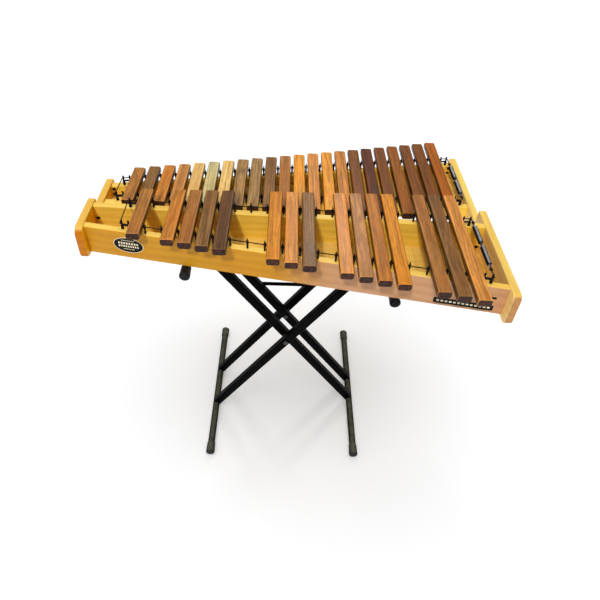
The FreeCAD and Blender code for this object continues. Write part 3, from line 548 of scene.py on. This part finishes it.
def paint_bars():
    """A rosewood of its own for every bar, so no two show the same grain."""
    for row, tones, first_seed in (("natural", NATURAL_TONES, NATURAL_SEED),
                                   ("accidental", ACCIDENTAL_TONES, ACCIDENTAL_SEED)):
        for index, tone in enumerate(tones):
            seed = first_seed + index
            streaks = MANY_STREAKS if tone in STREAKY_TONES else FEW_STREAKS
            name = "%s_bar_%02d" % (row, index + 1)
            paint([name], rosewood("rosewood_" + name, TONES[tone], seed, streaks))


def paint_frame():
    """Boards, rails, floor panels and the screws that join them."""
    paint(["front_rail"],
          frame_wood("front_rail_wood", GOLDEN, GOLDEN_TOP, "X", right_tone=PINK_TAN))
    # The inner and rear rails get a brighter copy of the front rail's wood: painted light in the
    # chamber's shade.
    paint(["accidental_inner_rail", "natural_inner_rail", "rear_rail"],
          frame_wood("rail_wood", GOLDEN_INNER, GOLDEN_TOP, "X"))
    paint(["end_board_left"],
          # The left board's inner face gets painted bounce light.
          frame_wood("left_board_wood", GOLDEN, LEFT_TOP, "Y", inner_tone=ORANGE_INNER))
    paint(["end_board_right"],
          frame_wood("right_board_wood", PALE_INNER, RIGHT_TOP, "Y", front_tone=PINK_END))
    paint(["floor_panels"], frame_wood("panel_wood", PANEL_YELLOW, PANEL_YELLOW, "X"))
    paint(["frame_screws"], satin_black("screw_black_oxide"))


def paint_hardware():
    """Posts, cords and the stand."""
    paint(["cord_posts"], satin_black("post_plastic"))
    paint(["accidental_cord", "natural_cord"], braided_cord("cord_braid"))
    paint(["outer_legs", "outer_arm", "inner_legs", "inner_arm"], coated_tube("tube_coat"))
    # The feet and their caps get pale grey on their upper faces: partly dust, partly painted light
    # from above.
    paint(["outer_foot", "inner_foot"], coated_tube("foot_coat", FLOOR_DUST_AND_LIGHT))
    paint(["outer_foot_caps", "inner_caps"],
          rubber("foot_cap_rubber", shine=0.25, roughness=0.55, dust_and_light=FLOOR_DUST_AND_LIGHT))
    paint(["outer_arm_caps"], rubber("arm_cap_rubber", shine=0.08, roughness=0.25))
    paint(["pivot_bolts"], plated_steel("bolt_steel", low=0.03, high=0.10, roughness=0.34))
    paint(["stay_bar"], coated_tube("stay_coat"))


# --- springs and knots ------------------------------------------------------------------
def tube_along(name, points, radius):
    """Round wire along a list of points, as a mesh."""
    curve = bpy.data.curves.new(name, "CURVE")
    curve.dimensions = "3D"
    curve.bevel_depth = radius
    curve.bevel_resolution = 2
    curve.use_fill_caps = True
    spline = curve.splines.new("POLY")
    spline.points.add(len(points) - 1)
    for point, place in zip(spline.points, points):
        point.co = (place.x, place.y, place.z, 1.0)
    holder = bpy.data.objects.new(name + "_curve", curve)
    mesh = bpy.data.meshes.new_from_object(holder)
    bpy.data.objects.remove(holder)
    for polygon in mesh.polygons:
        polygon.use_smooth = True
    piece = bpy.data.objects.new(name, mesh)
    bpy.context.scene.collection.objects.link(piece)
    return piece


def swung(arm, step, axis):
    """An arm turned about an axis by a number of steps, of COIL_STEPS to a turn."""
    return Matrix.Rotation(2 * math.pi * step / COIL_STEPS, 3, axis) @ arm


def ring(centre, start, axis):
    """One closed turn of points round a centre, from centre + start, about an axis."""
    return [centre + swung(start, step, axis) for step in range(COIL_STEPS + 1)]


def spring_path(hook, away, hook_axis):
    """Wire of one pull spring: a hook loop, the close coil and the loop on the cord's side."""
    side = away.cross(Z_AXIS).normalized()
    coil_radius = SPRING_RADIUS - WIRE_RADIUS
    loop_reach = SPRING_LOOP_RADIUS - WIRE_RADIUS / 2.0
    body_start = hook + away * loop_reach
    body_end = body_start + away * SPRING_BODY
    turns = round(SPRING_BODY / COIL_PITCH)
    steps = turns * COIL_STEPS
    points = ring(hook, away * SPRING_LOOP_RADIUS, hook_axis)
    for step in range(steps + 1):
        share = step / steps
        turns_to_end = min(share, 1.0 - share) * turns
        swell = min(1.0, COIL_FIRST_SIZE + COIL_SWELL_PER_TURN * turns_to_end)
        centre = body_start.lerp(body_end, share)
        points.append(centre + swung(side, step, away) * (coil_radius * swell))
    far = body_end + away * loop_reach
    return points + ring(far, -away * SPRING_LOOP_RADIUS, Z_AXIS)


def spring_lines():
    """For each row's pair of springs: their meeting point and direction in the plan."""
    mesh = nodes["cord_springs"].data
    places = np.array([tuple(vertex.co) for vertex in mesh.vertices])
    level = (places[:, 2].min() + places[:, 2].max()) / 2.0
    lines = []
    for row in (places[places[:, 2] > level], places[places[:, 2] < level]):
        middle = (row.min(axis=0) + row.max(axis=0)) / 2.0
        spread = row[:, :2] - row[:, :2].mean(axis=0)
        heading = np.linalg.svd(spread.T @ spread)[0][:, 0]
        heading = Vector((heading[0], heading[1], 0.0)).normalized()
        if heading.y < 0:
            heading = -heading
        lines.append((Vector(middle), heading))
    return lines


def make_knot(name, loop_centre, away, material):
    """The cord's end, tied to a spring loop: an eye of cord, three binding turns, a tail."""
    side = away.cross(Z_AXIS).normalized()
    reach = SPRING_LOOP_RADIUS + 2.0 * KNOT_EYE_RADIUS - WIRE_RADIUS
    bind_start = loop_centre + away * reach
    points = ring(bind_start - away * KNOT_EYE_RADIUS, away * KNOT_EYE_RADIUS, side)
    for step in range(KNOT_TURNS * COIL_STEPS + 1):
        centre = bind_start + away * (KNOT_TURN_PITCH * step / COIL_STEPS)
        points.append(centre + swung(Z_AXIS, step, away) * KNOT_TURN_RADIUS)
    points.append(points[-1] + (side * 2.0 - Z_AXIS - away) * KNOT_TAIL)
    knot = tube_along(name, points, KNOT_CORD_RADIUS)
    knot.data.materials.append(material)
    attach(knot, "keyboard")


def make_springs():
    """Two hooked springs for each row's cord, with a knot at either far end."""
    # The spring wire gets a bright painted highlight along its top.
    steel = plated_steel("spring_wire", low=0.004, high=0.012, roughness=0.42, painted_highlight=0.62)
    braid = braided_cord("knot_braid")
    for row, (middle, heading) in zip(("accidental", "natural"), spring_lines()):
        for end, away in (("near", -heading), ("far", heading)):
            hook = middle + away * (SPRING_LOOP_RADIUS - WIRE_RADIUS - LOOP_CLEARANCE)
            side = away.cross(Z_AXIS).normalized()
            points = spring_path(hook, away, Z_AXIS if end == "near" else side)
            spring = tube_along("%s_spring_%s" % (row, end), points, WIRE_RADIUS)
            spring.data.materials.append(steel)
            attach(spring, "keyboard")
            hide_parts("cord_springs")
            far = hook + away * (SPRING_BODY + 2 * SPRING_LOOP_RADIUS - WIRE_RADIUS)
            make_knot("%s_knot_%s" % (row, end), far, away, braid)


# --- labels on the front rail -----------------------------------------------------------
class RailFace:
    """The front rail's outer face: its left end, its direction and its outward normal.

    The rail runs askew, so its box is as deep as its slope plus its own thickness. The
    thickness seen along y depends on the slope, which is found in a few passes."""

    def __init__(self):
        low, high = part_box("front_rail")
        length = high.x - low.x
        slope = 0.0
        for _ in range(SLOPE_PASSES):
            depth = RAIL_THICKNESS * math.hypot(1.0, slope)
            slope = (low.y - high.y + depth) / length
        self.origin = Vector((low.x, high.y - depth, low.z))
        self.along = Vector((1.0, slope, 0.0)).normalized()
        self.outward = Vector((slope, -1.0, 0.0)).normalized()

    def point(self, along, up, proud):
        """Point on the face, or a little in front of it."""
        return self.origin + self.along * along + Z_AXIS * up + self.outward * proud


def rounded_outline(width, height, power, steps):
    """Closed outline between an ellipse (power 2) and a rectangle (a large power)."""
    outline = []
    for step in range(steps):
        angle = 2 * math.pi * step / steps
        across = math.cos(angle)
        up = math.sin(angle)
        outline.append((math.copysign(abs(across) ** (2.0 / power), across) * width / 2.0,
                        math.copysign(abs(up) ** (2.0 / power), up) * height / 2.0))
    return outline


def add_plate(builder, face, centre, outline, levels):
    """Closed plate from one outline; each level is an inset, a height and a material."""
    loops = []
    for inset, proud, _ in levels:
        loop = []
        for across, up in outline:
            keep = 1.0 - inset / math.hypot(across, up)
            place = face.point(centre[0] + across * keep, centre[1] + up * keep, proud)
            loop.append(builder.verts.new(place))
        loops.append(loop)
    count = len(outline)
    for outer, inner, level in zip(loops[:-1], loops[1:], levels[1:]):
        for index in range(count):
            after = (index + 1) % count
            quad = builder.faces.new((outer[index], outer[after], inner[after], inner[index]))
            quad.material_index = level[2]
    builder.faces.new(loops[-1]).material_index = levels[-1][2]
    builder.faces.new(list(reversed(loops[0]))).material_index = levels[0][2]


def add_dashes(builder, face, label_centre, row):
    """Row of plain pale bars, in place of print."""
    rise, width, height, count = row
    pitch = width / count
    outline = rounded_outline(DASH_SHARE * pitch, height, DASH_POWER, DASH_STEPS)
    levels = ((0.0, LABEL_FIELD, PALE_FILM), (DASH_BEVEL, DASH_TOP, PALE_FILM))
    for index in range(count):
        across = label_centre[0] - width / 2.0 + pitch * (index + 0.5)
        add_plate(builder, face, (across, label_centre[1] + rise), outline, levels)


def finish_label(name, builder, materials):
    """One label from its faces, riding on the keyboard."""
    mesh = bpy.data.meshes.new(name)
    builder.to_mesh(mesh)
    builder.free()
    for material in materials:
        mesh.materials.append(material)
    label = bpy.data.objects.new(name, mesh)
    bpy.context.scene.collection.objects.link(label)
    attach(label, "keyboard")


def make_labels():
    """Oval plate, strip and tab on the front rail, with bars where print would be."""
    face = RailFace()
    films = (printed_film("label_black", LABEL_BLACK), printed_film("label_pale", LABEL_PALE))
    back = (0.0, -LABEL_SINK, BLACK_FILM)
    ringed = (back, (0.0, LABEL_EDGE, PALE_FILM), (LABEL_BEVEL, LABEL_THICKNESS, PALE_FILM),
              (LABEL_RING, LABEL_THICKNESS, PALE_FILM),
              (LABEL_RING + LABEL_BEVEL, LABEL_FIELD, BLACK_FILM))
    plain = (back, (0.0, LABEL_EDGE, BLACK_FILM), (LABEL_BEVEL, LABEL_THICKNESS, BLACK_FILM))
    for name, size, place, power, levels, rows in (
            ("oval_label", OVAL_LABEL, OVAL_PLACE, OVAL_POWER, ringed, OVAL_ROWS),
            ("strip_label", STRIP_LABEL, STRIP_PLACE, STRIP_POWER, plain, STRIP_ROWS),
            ("tab_label", TAB_LABEL, TAB_PLACE, STRIP_POWER, plain, ())):
        builder = bmesh.new()
        outline = rounded_outline(size[0], size[1], power, OUTLINE_STEPS)
        add_plate(builder, face, place, outline, levels)
        for row in rows:
            add_dashes(builder, face, place, row)
        finish_label(name, builder, films)


# --- stage ------------------------------------------------------------------------------
def make_floor():
    """Plain pale floor, slightly uneven in tone."""
    mesh = bpy.data.meshes.new("stage_floor")
    corners = [(x * FLOOR_REACH, y * FLOOR_REACH, 0) for x, y in FLOOR_CORNERS]
    mesh.from_pydata(corners, [], [(0, 1, 2, 3)])
    floor = bpy.data.objects.new("stage_floor", mesh)
    bpy.context.scene.collection.objects.link(floor)
    surface = Surface("floor_paint", Emission_Color=WHITE, Emission_Strength=FLOOR_GLOW)
    tint = surface.noise(surface.place, 1.5, 2.0)
    colour = surface.mix(tint, *FLOOR_TONES)
    mesh.materials.append(surface.finish(colour, surface.remap(tint, 0.0, 1.0, 0.8, 0.9)))
    return floor


def make_window():
    """Small bright window behind the instrument, for sheen on the bars."""
    light = bpy.data.lights.new("window", "AREA")
    light.shape = "RECTANGLE"
    light.size, light.size_y = WINDOW_SIZE
    light.energy = WINDOW_POWER
    holder = bpy.data.objects.new("window", light)
    holder.location = WINDOW_PLACE
    heading = Vector(WINDOW_TARGET) - Vector(WINDOW_PLACE)
    holder.rotation_euler = heading.to_track_quat("-Z", "Y").to_euler()
    bpy.context.scene.collection.objects.link(holder)


def make_sun(name, sun, colour=(1.0, 1.0, 1.0)):
    """Distant light, from its heading, strength and width in degrees."""
    heading, strength, width = sun
    light = bpy.data.lights.new(name, "SUN")
    light.energy = strength
    light.angle = math.radians(width)
    light.color = colour
    holder = bpy.data.objects.new(name, light)
    holder.rotation_euler = Vector(heading).to_track_quat("-Z", "Y").to_euler()
    bpy.context.scene.collection.objects.link(holder)
    return holder


def make_world():
    """White surroundings: soft light on the object, and a brighter plain backdrop."""
    world = bpy.data.worlds.new("studio")
    world.use_nodes = True
    background = world.node_tree.nodes["Background"]
    background.inputs["Color"].default_value = WHITE
    rays = world.node_tree.nodes.new("ShaderNodeLightPath")
    strength = world.node_tree.nodes.new("ShaderNodeMapRange")
    strength.inputs["To Min"].default_value = WORLD_STRENGTH
    strength.inputs["To Max"].default_value = BACKDROP_STRENGTH
    world.node_tree.links.new(rays.outputs["Is Camera Ray"], strength.inputs["Value"])
    world.node_tree.links.new(strength.outputs["Result"], background.inputs["Strength"])
    bpy.context.scene.world = world
    bpy.context.scene.view_settings.view_transform = "Standard"


def make_lights():
    """Light from overhead and a window behind; the lamp above the camera and the ceiling's
    glow are given back, to be aimed when every piece is there."""
    make_sun("skylight", SKYLIGHT)
    make_window()
    ceiling = make_sun("ceiling", CEILING)
    return make_sun("lamp", LAMP, LAMP_COLOUR), ceiling


def light_only(light, name, pieces):
    """Let a lamp light only the given pieces."""
    lit = bpy.data.collections.new(name)
    for piece in pieces:
        lit.objects.link(piece)
    light.light_linking.receiver_collection = lit


def aim_lamps(lamp, ceiling, floor):
    """The lamp lights the instrument and not the floor, as a snooted studio lamp would;
    the ceiling's wide glow is for the floor's soft shadow only."""
    meshes = [piece for piece in bpy.data.objects if piece.type == "MESH" and piece != floor]
    light_only(lamp, "lit_by_lamp", meshes)
    light_only(ceiling, "lit_by_ceiling", [floor])


def make_camera():
    """Camera at the photograph's angle, rolled a little as if held by hand."""
    data = bpy.data.cameras.new("camera")
    data.sensor_width = CAMERA_SENSOR
    data.lens = CAMERA_LENS
    data.shift_y = CAMERA_SHIFT_Y
    camera = bpy.data.objects.new("camera", data)
    bpy.context.scene.collection.objects.link(camera)
    turn = Matrix.Rotation(-CAMERA_YAW, 4, "Z")
    tilt = Matrix.Rotation(math.pi / 2 - CAMERA_PITCH, 4, "X")
    roll = Matrix.Rotation(CAMERA_ROLL, 4, "Z")
    camera.matrix_world = Matrix.Translation(CAMERA_PLACE) @ turn @ tilt @ roll
    bpy.context.scene.camera = camera


make_camera()
make_world()
lamp, ceiling = make_lights()
floor = make_floor()
paint_bars()
paint_frame()
paint_hardware()
make_springs()
make_labels()
aim_lamps(lamp, ceiling, floor)
